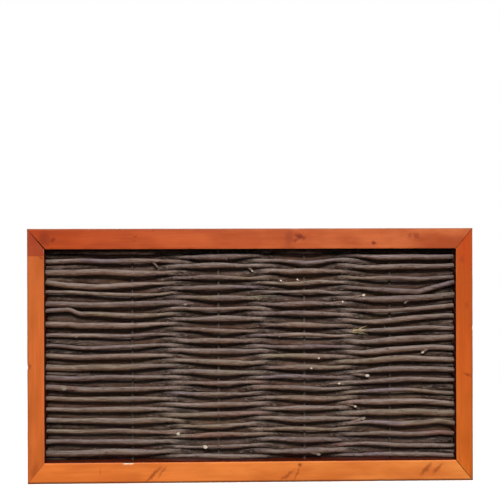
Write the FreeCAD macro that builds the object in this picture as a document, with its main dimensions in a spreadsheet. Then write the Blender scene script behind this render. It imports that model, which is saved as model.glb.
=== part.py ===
import FreeCAD, Part
import math
import os

import Sketcher

# Woven willow hurdle: a mitred timber frame, upright steel stakes and willow rods woven round them.
# The origin lies under the middle of the panel, on the surface it stands on, with X along the
# panel, Y from its front to its back and Z up. Lengths are in millimetres.

# The driving dimensions.
SIZES = {
    # Frame, over all
    "panel_width": 1800,
    "panel_height": 1025,
    "frame_depth": 90,
    # Boards of the frame, as seen from the front
    "stile_width": 68,
    "rail_width": 83,
    "arris_radius": 3,
    "mitre_gap": 0.6,
    # Stakes: the first is measured from the left stile, the setback from the front face
    "stake_diameter": 10,
    "first_stake": 348,
    "stake_pitch": 351,
    "stake_setback": 45,
    "stake_seat": 30,
    "stake_clearance": 0.3,
    # Willow rods: thick and thin ones differ from the middle diameter by up to the variation
    "rod_diameter": 20.9,
    "rod_variation": 1.6,
    "rod_spacing": 0.4,
    "rod_clearance": 0.3,
    "rod_end_gap": 5,
    "bend_radius": 500,
    # Screws through the mitres, two beside each other at each corner
    "screw_diameter": 6,
    "screw_length": 120,
    "screw_tip": 8,
    "screw_head": 12,
    "screw_clearance": 0.2,
    "screw_rise": 34,
    "screw_spread": 40,
}

# Turn between the thickness of one rod and the next, in radians: it never comes round again.
GRADE_TURN = 2.4

# The long edges of a rail run along X, those of a stile along Z.
ALONG_RAIL = FreeCAD.Vector(1, 0, 0)
ALONG_STILE = FreeCAD.Vector(0, 0, 1)

LEFT_FACE = "-Dims.panel_width / 2"
RIGHT_FACE = "Dims.panel_width / 2"
LEFT_INSIDE = "-Dims.panel_width / 2 + Dims.stile_width"
RIGHT_INSIDE = "Dims.panel_width / 2 - Dims.stile_width"
BASE = "0"
TOP = "Dims.panel_height"
LOWER_INSIDE = "Dims.rail_width"
UPPER_INSIDE = "Dims.panel_height - Dims.rail_width"
OPENING_HEIGHT = "(Dims.panel_height - 2 * Dims.rail_width)"
WEAVE_MIDDLE = "-Dims.frame_depth / 2 + Dims.stake_setback"
STAKE_BORE = "Dims.stake_diameter / 2 + Dims.stake_clearance"
SCREW_BORE = "Dims.screw_diameter / 2 + Dims.screw_clearance"
SCREW_DEPTH = "Dims.screw_length + Dims.screw_clearance"
# The head's cone slopes at 45 degrees, so this leaves it the same clearance all over.
COUNTERSINK = "Dims.screw_head + 2 * sqrt(2) * Dims.screw_clearance"
SCREW_HEIGHTS = ("Dims.screw_rise", "Dims.panel_height - Dims.screw_rise")
SCREW_PLACES = ("-Dims.screw_spread / 2", "Dims.screw_spread / 2")

doc = FreeCAD.newDocument("WillowHurdle")


def make_sheet():
    """The spreadsheet of driving dimensions, one row each, with the name as its alias."""
    sheet = doc.addObject("Spreadsheet::Sheet", "Dims")
    for row, (name, value) in enumerate(SIZES.items(), 1):
        sheet.set(f"A{row}", name)
        sheet.set(f"B{row}", str(value))
        sheet.setAlias(f"B{row}", name)
    doc.recompute()
    return sheet


dims = make_sheet()


def size(expression):
    """The value of an expression of the driving dimensions."""
    return float(dims.evalExpression(expression))


def bind(thing, **expressions):
    """Binds properties of an object to expressions of the driving dimensions."""
    for name, expression in expressions.items():
        thing.setExpression(name, expression)


def place(thing, across=None, deep=None, up=None):
    """Binds the base of an object's placement to expressions."""
    for axis, expression in (("x", across), ("y", deep), ("z", up)):
        if expression:
            thing.setExpression(f"Placement.Base.{axis}", expression)


def sketch_on(body, role, name, offset=None):
    """A sketch on one of the body's own origin planes, or at an offset from it."""
    sketch = body.newObject("Sketcher::SketchObject", name)
    plane = next(feature for feature in body.Origin.OriginFeatures if feature.Role == role)
    sketch.AttachmentSupport = [(plane, "")]
    sketch.MapMode = "FlatFace"
    if offset:
        sketch.setExpression("AttachmentOffset.Base.z", offset)
    return sketch


def dimension(sketch, constraint, expression):
    """Adds a constraint with a value to a sketch and binds that value to an expression."""
    index = sketch.addConstraint(Sketcher.Constraint(*constraint, size(expression)))
    sketch.setExpression(f"Constraints[{index}]", expression)


def pin(sketch, geometry, point, across, up):
    """Fixes a point of a sketch by its two distances from the sketch's origin."""
    dimension(sketch, ("DistanceX", -1, 1, geometry, point), across)
    dimension(sketch, ("DistanceY", -1, 1, geometry, point), up)


def draw_outline(sketch, corners):
    """Draws a closed outline of straight lines through corners given as expressions."""
    points = [FreeCAD.Vector(size(across), size(up), 0) for across, up in corners]
    count = len(points)
    for index in range(count):
        sketch.addGeometry(Part.LineSegment(points[index], points[(index + 1) % count]))
    for index in range(count):
        sketch.addConstraint(Sketcher.Constraint("Coincident", index, 2, (index + 1) % count, 1))
    for index, (across, up) in enumerate(corners):
        pin(sketch, index, 1, across, up)


def draw_circles(sketch, centres, radius):
    """Draws equal circles at centres given as expressions."""
    for across, up in centres:
        middle = FreeCAD.Vector(size(across), size(up), 0)
        circle = sketch.addGeometry(Part.Circle(middle, FreeCAD.Vector(0, 0, 1), size(radius)))
        pin(sketch, circle, 3, across, up)
        dimension(sketch, ("Radius", circle), radius)


def check_cut(body, feature):
    """Stops the build if a hole took nothing away from its board."""
    before = feature.BaseFeature.Shape.Volume
    doc.recompute()
    if not feature.Shape.Volume < before:
        raise RuntimeError(f"{feature.Label} cuts nothing from {body.Label}")


def bore(body, sketch, depth, against_normal=True):
    """Blind holes of one depth, from a sketch of circles."""
    pocket = body.newObject("PartDesign::Pocket", "Bore")
    pocket.Profile = sketch
    pocket.Type = "Length"
    pocket.Reversed = not against_normal
    bind(pocket, Length=depth)
    check_cut(body, pocket)


def make_board(name, corners, along):
    """A board: its mitred outline padded over the frame's depth, with rounded long arrises."""
    body = doc.addObject("PartDesign::Body", name)
    outline = sketch_on(body, "XZ_Plane", "Outline")
    draw_outline(outline, corners)
    pad = body.newObject("PartDesign::Pad", "Board")
    pad.Profile = outline
    pad.SideType = "Symmetric"
    bind(pad, Length="Dims.frame_depth")
    doc.recompute()
    long_edges = [
        f"Edge{number}"
        for number, edge in enumerate(pad.Shape.Edges, 1)
        if edge.tangentAt(edge.FirstParameter).isParallel(along, 1e-6)
    ]
    arris = body.newObject("PartDesign::Fillet", "Arris")
    arris.Base = (pad, long_edges)
    bind(arris, Radius="Dims.arris_radius")
    doc.recompute()
    return body


def stake_line(number):
    """Distance of a stake's axis from the middle of the panel, along X."""
    return f"{LEFT_INSIDE} + Dims.first_stake + {number} * Dims.stake_pitch"


def make_rail(name, outer, inner, screw_height, seats_upwards):
    """A rail, with the seats of the stakes in its inner edge and screw bores in its mitred ends."""
    corners = [
        (f"{LEFT_FACE} + Dims.mitre_gap", outer),
        (f"{RIGHT_FACE} - Dims.mitre_gap", outer),
        (f"{RIGHT_INSIDE} - Dims.mitre_gap", inner),
        (f"{LEFT_INSIDE} + Dims.mitre_gap", inner),
    ]
    body = make_board(name, corners, ALONG_RAIL)
    seats = sketch_on(body, "XY_Plane", "StakeSeats", inner)
    draw_circles(seats, [(stake_line(number), WEAVE_MIDDLE) for number in range(stake_count)], STAKE_BORE)
    bore(body, seats, "Dims.stake_seat", against_normal=not seats_upwards)
    for side, face in (("Left", LEFT_FACE), ("Right", RIGHT_FACE)):
        screws = sketch_on(body, "YZ_Plane", f"{side}Screws", face)
        draw_circles(screws, [(deep, screw_height) for deep in SCREW_PLACES], SCREW_BORE)
        bore(body, screws, SCREW_DEPTH, against_normal=side == "Right")
    return body


def make_stile(name, outer, inner, faces_left):
    """A stile, with countersunk screw holes from its outer face through both mitres."""
    corners = [(outer, BASE), (inner, LOWER_INSIDE), (inner, UPPER_INSIDE), (outer, TOP)]
    body = make_board(name, corners, ALONG_STILE)
    screws = sketch_on(body, "YZ_Plane", "Screws", outer)
    centres = [(deep, height) for height in SCREW_HEIGHTS for deep in SCREW_PLACES]
    draw_circles(screws, centres, SCREW_BORE)
    doc.recompute()
    hole = body.newObject("PartDesign::Hole", "ScrewHoles")
    hole.Profile = screws
    hole.Reversed = faces_left
    hole.Threaded = False
    hole.DepthType = "Dimension"
    hole.DrillPoint = "Flat"
    hole.HoleCutType = "Countersink"
    hole.HoleCutCustomValues = True
    hole.HoleCutCountersinkAngle = 90
    bind(hole, Diameter=f"2 * ({SCREW_BORE})", Depth=SCREW_DEPTH, HoleCutDiameter=COUNTERSINK)
    check_cut(body, hole)
    return body


def make_stake(number):
    """A round bar that stands in its seat in the bottom rail and ends just short of the upper one."""
    stake = doc.addObject("Part::Cylinder", f"stake_{number + 1}")
    bind(
        stake,
        Radius="Dims.stake_diameter / 2",
        Height=f"{OPENING_HEIGHT} + 2 * Dims.stake_seat - Dims.stake_clearance",
    )
    place(stake, stake_line(number), WEAVE_MIDDLE, f"{LOWER_INSIDE} - Dims.stake_seat")
    return stake


def draw_weave_line(sketch, row, offset):
    """Centreline of a rod, as lines and tangent arcs.

    An arc leads past each stake, at the offset in front of it or behind it in turn. Straight runs
    cross from one arc to the next, and straight ends run on along the panel to the stiles.
    """
    radius = size("Dims.bend_radius")
    pitch = size("Dims.stake_pitch")
    rise = 2 * (radius - size(offset))
    slope = math.asin(2 * radius / math.hypot(pitch, rise)) - math.atan2(rise, pitch)
    sides = [(-1) ** (row + number) for number in range(stake_count)]
    last = stake_count - 1

    arcs = []
    for number, side in enumerate(sides):
        centre = FreeCAD.Vector(size(stake_line(number)), side * (size(offset) - radius), 0)
        left = 0 if number == 0 else slope
        right = 0 if number == last else slope
        apex = side * math.pi / 2
        start, end = (apex - right, apex + left) if side > 0 else (apex - left, apex + right)
        circle = Part.Circle(centre, FreeCAD.Vector(0, 0, 1), radius)
        arcs.append(sketch.addGeometry(Part.ArcOfCircle(circle, start, end)))

    def left_end(number):
        return arcs[number], 2 if sides[number] > 0 else 1

    def right_end(number):
        return arcs[number], 1 if sides[number] > 0 else 2

    start_x = f"{LEFT_INSIDE} + Dims.rod_end_gap"
    end_x = f"{RIGHT_INSIDE} - Dims.rod_end_gap"
    first_point = FreeCAD.Vector(size(start_x), sides[0] * size(offset), 0)
    last_point = FreeCAD.Vector(size(end_x), sides[last] * size(offset), 0)
    knots = [first_point]
    for number in range(stake_count):
        knots.append(sketch.getPoint(*left_end(number)))
        knots.append(sketch.getPoint(*right_end(number)))
    knots.append(last_point)
    runs = [
        sketch.addGeometry(Part.LineSegment(knots[2 * number], knots[2 * number + 1]))
        for number in range(stake_count + 1)
    ]

    for number, side in enumerate(sides):
        pin(sketch, arcs[number], 3, stake_line(number), f"{side} * ({offset} - Dims.bend_radius)")
        dimension(sketch, ("Radius", arcs[number]), "Dims.bend_radius")
        sketch.addConstraint(Sketcher.Constraint("Tangent", runs[number], 2, *left_end(number)))
        sketch.addConstraint(Sketcher.Constraint("Tangent", runs[number + 1], 1, *right_end(number)))
    sketch.addConstraint(Sketcher.Constraint("Horizontal", runs[0]))
    sketch.addConstraint(Sketcher.Constraint("Horizontal", runs[stake_count]))
    dimension(sketch, ("DistanceX", -1, 1, runs[0], 1), start_x)
    dimension(sketch, ("DistanceX", -1, 1, runs[stake_count], 2), end_x)


def make_rod(row, grade, rise):
    """A willow rod: a round section carried along its weave line.

    The grade, from about -1 to 1, sets how thick the rod is. The rise is the sum of the grades
    below it, by which thicker and thinner rods shift the row up or down.
    """
    diameter = f"(Dims.rod_diameter + {grade:.4f} * Dims.rod_variation)"
    offset = f"((Dims.stake_diameter + {diameter}) / 2 + Dims.rod_clearance)"
    body = doc.addObject("PartDesign::Body", f"willow_rod_{row + 1:02d}")
    path = sketch_on(body, "XY_Plane", "WeaveLine")
    draw_weave_line(path, row, offset)
    section = sketch_on(body, "YZ_Plane", "Section", f"{LEFT_INSIDE} + Dims.rod_end_gap")
    draw_circles(section, [(f"{(-1) ** row} * {offset}", BASE)], f"{diameter} / 2")
    rod = body.newObject("PartDesign::AdditivePipe", "Rod")
    rod.Profile = section
    rod.Spine = (path, [f"Edge{number + 1}" for number in range(2 * stake_count + 1)])
    height = f"{LOWER_INSIDE} + {OPENING_HEIGHT} * {row + 0.5} / {row_count}"
    place(body, None, WEAVE_MIDDLE, f"{height} + {rise:.4f} * Dims.rod_variation")
    return body


def make_rods():
    """All the rods from the lowest up, each thicker or thinner than the next in a wandering way."""
    waves = [math.sin(GRADE_TURN * row) for row in range(row_count)]
    grades = [wave - sum(waves) / row_count for wave in waves]
    return [make_rod(row, grade, sum(grades[:row]) + grade / 2) for row, grade in enumerate(grades)]


def make_screw(face, inwards, deep, height):
    """A countersunk wood screw along X: a cone for the head, a shank and a pointed tip."""
    head_length = "(Dims.screw_head - Dims.screw_diameter) / 2"
    shank_length = f"Dims.screw_length - {head_length} - Dims.screw_tip"
    head = doc.addObject("Part::Cone", "ScrewHead")
    bind(head, Radius1="Dims.screw_head / 2", Radius2="Dims.screw_diameter / 2", Height=head_length)
    shank = doc.addObject("Part::Cylinder", "ScrewShank")
    bind(shank, Radius="Dims.screw_diameter / 2", Height=shank_length)
    place(shank, up=head_length)
    tip = doc.addObject("Part::Cone", "ScrewTip")
    bind(tip, Radius1="Dims.screw_diameter / 2", Height="Dims.screw_tip")
    tip.Radius2 = 0
    place(tip, up=f"{head_length} + {shank_length}")
    screw = doc.addObject("Part::MultiFuse", "Screw")
    screw.Shapes = [head, shank, tip]
    screw.Placement.Rotation = FreeCAD.Rotation(FreeCAD.Vector(0, 0, 1), FreeCAD.Vector(inwards, 0, 0))
    place(screw, face, deep, height)
    return screw


def make_screws():
    """Two screws at each corner, driven from the outer faces of the stiles."""
    group = doc.addObject("Part::Compound", "corner_screws")
    group.Links = [
        make_screw(face, inwards, deep, height)
        for face, inwards in ((LEFT_FACE, 1), (RIGHT_FACE, -1))
        for height in SCREW_HEIGHTS
        for deep in SCREW_PLACES
    ]
    return group


opening_width = size(f"{RIGHT_INSIDE} - ({LEFT_INSIDE})")
stake_room = opening_width - size("Dims.first_stake + Dims.stake_diameter")
stake_count = 1 + int(stake_room // size("Dims.stake_pitch"))
row_count = int(size(OPENING_HEIGHT) // size("Dims.rod_diameter + Dims.rod_spacing"))

subparts = [
    make_rail("bottom_rail", BASE, LOWER_INSIDE, SCREW_HEIGHTS[0], seats_upwards=False),
    make_rail("top_rail", TOP, UPPER_INSIDE, SCREW_HEIGHTS[1], seats_upwards=True),
    make_stile("left_stile", LEFT_FACE, LEFT_INSIDE, faces_left=True),
    make_stile("right_stile", RIGHT_FACE, RIGHT_INSIDE, faces_left=False),
    make_screws(),
]
subparts += [make_stake(number) for number in range(stake_count)]
subparts += make_rods()
doc.recompute()

for thing in doc.Objects:
    if "Invalid" in thing.State or "Error" in thing.State:
        raise RuntimeError(f"{thing.Label} did not build")
for subpart in subparts:
    if subpart.Shape.isNull() or not subpart.Shape.isValid():
        raise RuntimeError(f"{subpart.Label} has no valid shape")

os.makedirs("parts", exist_ok=True)
for subpart in subparts:
    subpart.Shape.exportStep(f"parts/{subpart.Label}.step")
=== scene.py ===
import math

import bpy
import numpy as np
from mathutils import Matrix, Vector


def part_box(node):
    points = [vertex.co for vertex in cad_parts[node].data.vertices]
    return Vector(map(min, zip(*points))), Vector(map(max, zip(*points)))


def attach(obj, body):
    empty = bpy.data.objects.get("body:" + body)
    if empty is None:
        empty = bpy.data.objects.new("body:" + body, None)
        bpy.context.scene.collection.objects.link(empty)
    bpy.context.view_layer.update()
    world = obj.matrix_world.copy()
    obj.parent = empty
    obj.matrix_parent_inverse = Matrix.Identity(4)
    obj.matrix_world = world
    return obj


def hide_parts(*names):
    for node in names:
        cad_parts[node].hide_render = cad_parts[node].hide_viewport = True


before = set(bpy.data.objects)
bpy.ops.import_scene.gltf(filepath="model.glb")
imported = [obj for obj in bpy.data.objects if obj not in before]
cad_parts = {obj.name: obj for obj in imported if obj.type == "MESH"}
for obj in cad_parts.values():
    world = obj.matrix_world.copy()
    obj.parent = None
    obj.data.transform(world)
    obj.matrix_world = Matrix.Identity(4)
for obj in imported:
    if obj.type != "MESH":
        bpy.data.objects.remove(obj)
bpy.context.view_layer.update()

# Woven willow hurdle: forty unpeeled rods woven round four steel stakes, in a mitred frame of
# stained boards. Lengths are in metres, with X along the panel, Y from front to back and Z up.

MM = 0.001
BODY = "root"
SEED = 339

# The frame of the panel, read from the solids
RAILS_LOW, RAILS_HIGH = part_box("bottom_rail"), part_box("top_rail")
STILES_LEFT, STILES_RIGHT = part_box("left_stile"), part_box("right_stile")
LEFT, RIGHT = STILES_LEFT[0].x, STILES_RIGHT[1].x
OPENING_LEFT, OPENING_RIGHT = STILES_LEFT[1].x, STILES_RIGHT[0].x
FLOOR, TOP = RAILS_LOW[0].z, RAILS_HIGH[1].z
OPENING_LOW, OPENING_HIGH = RAILS_LOW[1].z, RAILS_HIGH[0].z
FRONT, BACK = RAILS_LOW[0].y, RAILS_LOW[1].y
DEPTH = BACK - FRONT
STILE_WIDTH = OPENING_LEFT - LEFT
RAIL_WIDTH = OPENING_LOW - FLOOR

STAKES = sorted(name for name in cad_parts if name.startswith("stake_"))
RODS = sorted(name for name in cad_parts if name.startswith("willow_rod_"))

# The view: how far the eye stands from the front of the frame, how high, and how it is turned
EYE_DISTANCE = 3.2
EYE_HEIGHT = 0.938
EYE_TURN = math.radians(1.27)
EYE_ROLL = math.radians(0.15)
EYE_SHIFT = -4.5 * MM
IMAGE_SIZE = 500
IMAGE_MIDDLE = (249.7, 250.0)
PIXEL_AT_FRONT = 4.036 * MM
SENSOR = 36.0

# The weave lies a little behind the front of the frame, so a pixel there covers a little more.
WEAVE_SETBACK = 35 * MM
PIXEL_AT_WEAVE = PIXEL_AT_FRONT * (1 + WEAVE_SETBACK / EYE_DISTANCE)


def smooth(t):
    """Eases from 0 to 1 as t does: 3t^2 - 2t^3, held level outside."""
    t = np.clip(t, 0.0, 1.0)
    return t * t * (3.0 - 2.0 * t)


def wander(x, longest, waves, rng):
    """A line that wanders between about -1 and 1.

    It is a sum of sines of x, each shorter and weaker than the one before, with random phases.
    """
    total = np.zeros_like(x)
    for order in range(1, waves + 1):
        length = longest / order ** 1.2 * rng.uniform(0.85, 1.15)
        total += np.sin(2 * np.pi * x / length + rng.uniform(0, 2 * np.pi)) / order
    return total / 1.5


def from_pixel(column, line, pixel=PIXEL_AT_WEAVE):
    """Where a pixel of the 500 by 500 image falls: the distance along the panel and the height."""
    return (column - IMAGE_MIDDLE[0]) * pixel, EYE_HEIGHT - (line - IMAGE_MIDDLE[1]) * pixel


# Meshes


def tube(rings):
    """A closed tube through rings of points, given as an array of station, place round it and coordinate.

    Returns points and faces: quads between the rings, and one flat face over each end. A ring runs
    round its direction of travel by the right-hand rule, so that the faces point outwards.
    """
    stations, around = rings.shape[:2]
    i, j = np.meshgrid(np.arange(stations - 1), np.arange(around), indexing="ij")
    here, beside = i * around + j, i * around + (j + 1) % around
    quads = np.stack([here, beside, beside + around, here + around], -1).reshape(-1, 4)
    first = list(range(around))[::-1]
    last = list(range((stations - 1) * around, stations * around))
    return rings.reshape(-1, 3), quads.tolist() + [first, last]


def join(shapes):
    """Joins shapes into one.

    Each is its points, its faces, a material number for each face and a tint for each point.
    """
    points, faces, numbers, tints = [], [], [], []
    count = 0
    for shape_points, shape_faces, shape_numbers, shape_tints in shapes:
        points.append(shape_points)
        faces += [[index + count for index in face] for face in shape_faces]
        numbers += shape_numbers
        tints.append(shape_tints)
        count += len(shape_points)
    return np.concatenate(points), faces, numbers, np.concatenate(tints)


def round_turn(count):
    """Angles spaced evenly round a full turn."""
    return np.linspace(0, 2 * np.pi, count, endpoint=False)


def mark_points(piece, look, kind, values):
    """Stores what a material reads at each point of a piece: a number, or a colour as four numbers."""
    attribute = piece.data.attributes.new(look, kind, "POINT")
    field = "color" if kind == "FLOAT_COLOR" else "value"
    attribute.data.foreach_set(field, np.asarray(values, dtype=np.float32).ravel())


def make_piece(name, node, points, faces, materials, numbers=None, sharp=35.0):
    """Makes the object that stands for a solid of the frame, smooth but for edges sharper than an angle."""
    mesh = bpy.data.meshes.new(name)
    mesh.from_pydata(points.tolist(), [], faces)
    for material in materials:
        mesh.materials.append(material)
    if numbers is not None:
        mesh.polygons.foreach_set("material_index", numbers)
    mesh.shade_smooth()
    mesh.set_sharp_from_angle(angle=math.radians(sharp))
    piece = bpy.data.objects.new(name, mesh)
    bpy.context.scene.collection.objects.link(piece)
    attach(piece, BODY)
    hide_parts(node)
    return piece


# Materials


def linear(colour):
    """An sRGB hex colour as linear red, green, blue and alpha."""
    channels = np.array([int(colour[place:place + 2], 16) for place in (1, 3, 5)]) / 255
    low = channels / 12.92
    high = ((channels + 0.055) / 1.055) ** 2.4
    return np.append(np.where(channels <= 0.04045, low, high), 1.0).tolist()


def shaded(colour, share):
    """An sRGB hex colour as linear values, darkened to a share of its light."""
    return [channel * share for channel in linear(colour)[:3]] + [1.0]


def feed(tree, node, inputs):
    """Fills a node's inputs, each with a value, a socket, or a node whose first shown output is linked."""
    for key, value in inputs.items():
        if isinstance(value, bpy.types.Node):
            value = next(output for output in value.outputs if output.enabled)
        if isinstance(value, bpy.types.NodeSocket):
            tree.links.new(value, node.inputs[key])
        else:
            node.inputs[key].default_value = value


def add(tree, kind, inputs=None, **settings):
    """Adds a node of a kind with its settings, and fills its inputs."""
    node = tree.nodes.new(kind)
    for name, value in settings.items():
        setattr(node, name, value)
    feed(tree, node, inputs or {})
    return node


def new_material(name, **uniform):
    """A material whose shader has the given uniform values.

    Returns it with its node tree, its shader, and the place on the piece, which patterns read.
    """
    material = bpy.data.materials.new(name)
    material.use_nodes = True
    tree = material.node_tree
    shader = tree.nodes["Principled BSDF"]
    feed(tree, shader, {socket.replace("_", " "): value for socket, value in uniform.items()})
    return material, tree, shader, add(tree, "ShaderNodeTexCoord").outputs["Object"]


# A wave texture's rings repeat after this length at scale 1.
WAVE_PERIOD = math.pi / 10
# Sockets of a colour mix: its factor and its two colours
MIX_FACTOR, MIX_FIRST, MIX_SECOND = 0, 6, 7


def overlay(tree, colour, layers):
    """Lays tones over a colour in turn.

    Each layer is its source, the values of the source from which and to which it grows, its
    greatest share, and its tone.
    """
    for source, start, full, most, tone in layers:
        growth = {"Value": source, "From Min": start, "From Max": full, "To Max": most}
        share = add(tree, "ShaderNodeMapRange", growth)
        mix = {MIX_FACTOR: share, MIX_FIRST: colour, MIX_SECOND: tone}
        colour = add(tree, "ShaderNodeMix", mix, data_type="RGBA")
    return colour


def stained_softwood(name, upright, pale, deep, far, pith, knots, second_coat=None):
    """Planed softwood boards under a thin orange-brown stain, satin.

    The stain shows the grain through it: long streaks where it soaked in more, darker lines of
    late wood, brown knots and slanting spike knots, and paler inner arrises, rubbed off and painted with a
    highlight.
    Pale and deep are its tones, and far the tone towards the right or upper end. Knots are given
    in metres as place along and across the board, length, width, tilt in degrees and strength.
    A second coat, where there is one, is the place along the board from which it lies, to the end.
    """
    material, tree, shader, place = new_material(name, Specular_IOR_Level=0.22)
    turn = math.pi / 2 if upright else 0.0
    grain = add(tree, "ShaderNodeMapping", {"Vector": place, "Rotation": (0, turn, 0)})

    # The grain wanders: a slow noise, 700 mm long and 90 mm across, bends it by a few millimetres.
    # The outlines of knots are torn by a noise of 12 mm.
    slow = add(tree, "ShaderNodeMapping", {"Vector": grain, "Scale": (1 / 0.7, 1 / 0.09, 1 / 0.09)})
    courses = []
    for source, scale, detail, reach in (
        (slow, 1.0, 2.0, (0, 0.02, 0.02)),
        (grain, 1 / 0.012, 4.0, (0.022, 0, 0.016)),
    ):
        noise = add(tree, "ShaderNodeTexNoise", {"Vector": source, "Scale": scale, "Detail": detail})
        evenly = {0: noise.outputs["Color"], 1: (0.5, 0.5, 0.5)}
        centred = add(tree, "ShaderNodeVectorMath", evenly, operation="SUBTRACT")
        shift = add(tree, "ShaderNodeVectorMath", {0: centred, 1: reach}, operation="MULTIPLY")
        courses.append(add(tree, "ShaderNodeVectorMath", {0: grain, 1: shift}, operation="ADD"))
    bent, torn = courses

    # Knots: a length of 1 at the rim of each, strongest at its heart, in a halo that pushes the rings
    # aside by up to 12 mm
    knot = 0.0
    swirl = 0.0
    for along, across, length, width, tilt, strength in knots:
        local = add(
            tree,
            "ShaderNodeMapping",
            {
                "Vector": torn,
                "Location": (along, 0, across),
                "Rotation": (0, math.radians(tilt), 0),
                "Scale": (length / 2, 10.0, width / 2),
            },
            vector_type="TEXTURE",
        )
        reach = add(tree, "ShaderNodeVectorMath", {0: local}, operation="LENGTH").outputs["Value"]
        heart, halo = (
            add(
                tree,
                "ShaderNodeMapRange",
                {"Value": reach, "From Min": rim, "From Max": core, "To Max": most},
                interpolation_type="SMOOTHSTEP",
            )
            for rim, core, most in ((1.5, 0.3, strength), (3.0, 0.6, 12 * MM))
        )
        knot = add(tree, "ShaderNodeMath", {0: knot, 1: heart}, operation="MAXIMUM")
        swirl = add(tree, "ShaderNodeMath", {0: swirl, 1: halo}, operation="ADD")

    # Growth rings 4 mm apart round the pith
    aside = add(tree, "ShaderNodeCombineXYZ", {"Z": swirl})
    pushed = add(tree, "ShaderNodeVectorMath", {0: bent, 1: aside}, operation="ADD")
    about_pith = add(tree, "ShaderNodeMapping", {"Vector": pushed, "Location": (0, *pith)})
    spacing = {"Scale": WAVE_PERIOD / 0.004, "Distortion": 1.5, "Detail": 2.0, "Detail Scale": 0.3}
    rings = add(
        tree,
        "ShaderNodeTexWave",
        {"Vector": about_pith, **spacing},
        wave_type="RINGS",
        rings_direction="X",
        wave_profile="SAW",
    )

    # Streaks where the stain soaked in, 400 mm by 12 mm, fibres of 60 mm by 0.9 mm, and clouds of
    # thicker and thinner stain, 240 mm by 70 mm
    noises = []
    for course, sizes, settings in (
        (bent, (0.4, 0.03, 0.012), {"Detail": 4.0, "Roughness": 0.6}),
        (bent, (0.06, 0.0009, 0.0009), {"Detail": 3.0}),
        (grain, (0.24, 0.07, 0.07), {"Detail": 3.0}),
    ):
        scaled = add(tree, "ShaderNodeMapping", {"Vector": course, "Scale": [1 / size for size in sizes]})
        noises.append(add(tree, "ShaderNodeTexNoise", {"Vector": scaled, "Scale": 1.0, **settings}))
    soaked, fibre, cloud = noises

    onwards = add(tree, "ShaderNodeSeparateXYZ", {"Vector": grain}).outputs["X"]
    ends = (FLOOR, TOP) if upright else (LEFT, RIGHT)
    layers = [
        (soaked, 0.36, 0.66, 1.0, linear(deep)),
        (onwards, *ends, 0.7, linear(far)),
        (cloud, 0.38, 0.68, 0.75, shaded(deep, 0.72)),
        (rings, 0.35, 1.0, 0.34, shaded(deep, 0.62)),
        (fibre, 0.4, 1.0, 0.3, shaded(deep, 0.55)),
        (knot, 0.0, 1.0, 1.0, linear("#742208")),
    ]
    if second_coat is not None:
        # It ends in a line across the board, sharp to 2 mm
        layers.append((onwards, second_coat, second_coat + 2 * MM, 0.6, linear("#8C1A18")))
    # Arrises: rubbed pale inside, with a painted highlight there as well, weathered grey-brown outside,
    # darker towards the floor over the lowest 11 mm, and bare where a chip broke the wood
    rubbed_and_lit, weathered, bare = (
        add(tree, "ShaderNodeAttribute", attribute_name=look).outputs["Fac"]
        for look in ("rubbed_and_lit", "weathered", "bare")
    )
    height = add(tree, "ShaderNodeSeparateXYZ", {"Vector": place}).outputs["Z"]
    layers += [
        (rubbed_and_lit, 0.0, 1.0, 1.0, linear("#D0764A")),
        (weathered, 0.0, 1.0, 1.0, linear("#84583C")),
        (height, 0.011, 0.004, 0.75, linear("#54260F")),
        (bare, 0.0, 1.0, 1.0, linear("#F1DDBE")),
    ]
    colour = overlay(tree, linear(pale), layers)
    gloss = add(tree, "ShaderNodeMapRange", {"Value": fibre, "To Min": 0.42, "To Max": 0.62})
    relief = add(tree, "ShaderNodeMath", {0: fibre, 1: rings}, operation="ADD")
    bump = add(tree, "ShaderNodeBump", {"Height": relief, "Strength": 0.25, "Distance": 0.3 * MM})
    feed(tree, shader, {"Base Color": colour, "Roughness": gloss, "Normal": bump})
    return material


def speckled(name, speck, detail, span, pale, deep, relief, **uniform):
    """A matt surface that goes from pale to deep in specks of a size, with a slight relief.

    The span is the part of the specks' range in which the tone changes.
    """
    material, tree, shader, place = new_material(name, **uniform)
    specks = add(tree, "ShaderNodeTexNoise", {"Vector": place, "Scale": 1 / speck, "Detail": detail})
    colour = overlay(tree, linear(pale), [(specks, *span, 1.0, linear(deep))])
    bump = add(tree, "ShaderNodeBump", {"Height": specks, "Strength": relief, "Distance": 0.3 * MM})
    feed(tree, shader, {"Base Color": colour, "Normal": bump})
    return material


def end_grain():
    """Sawn end grain of the boards: open pores that drank the stain, so dark red-brown and matt."""
    # Pores and saw marks, 2 mm apart
    tones = ("#4A1A08", "#2A0D04")
    matt = {"Roughness": 0.85, "Specular_IOR_Level": 0.1}
    return speckled("stained_softwood_end_grain", 2 * MM, 3.0, (0.0, 1.0), *tones, 0.3, **matt)


def shaded_recess_stain():
    """The boards' inner faces: the same stain, never rubbed, matt, and darkened to red-brown as painted
    shade.
    """
    # Painted shade, uneven in clouds of 30 mm
    tones = ("#5E200C", "#361004")
    matt = {"Roughness": 0.9, "Specular_IOR_Level": 0.03}
    return speckled("stained_softwood_recess_painted_shade", 30 * MM, 4.0, (0.0, 1.0), *tones, 0.2, **matt)


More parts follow.
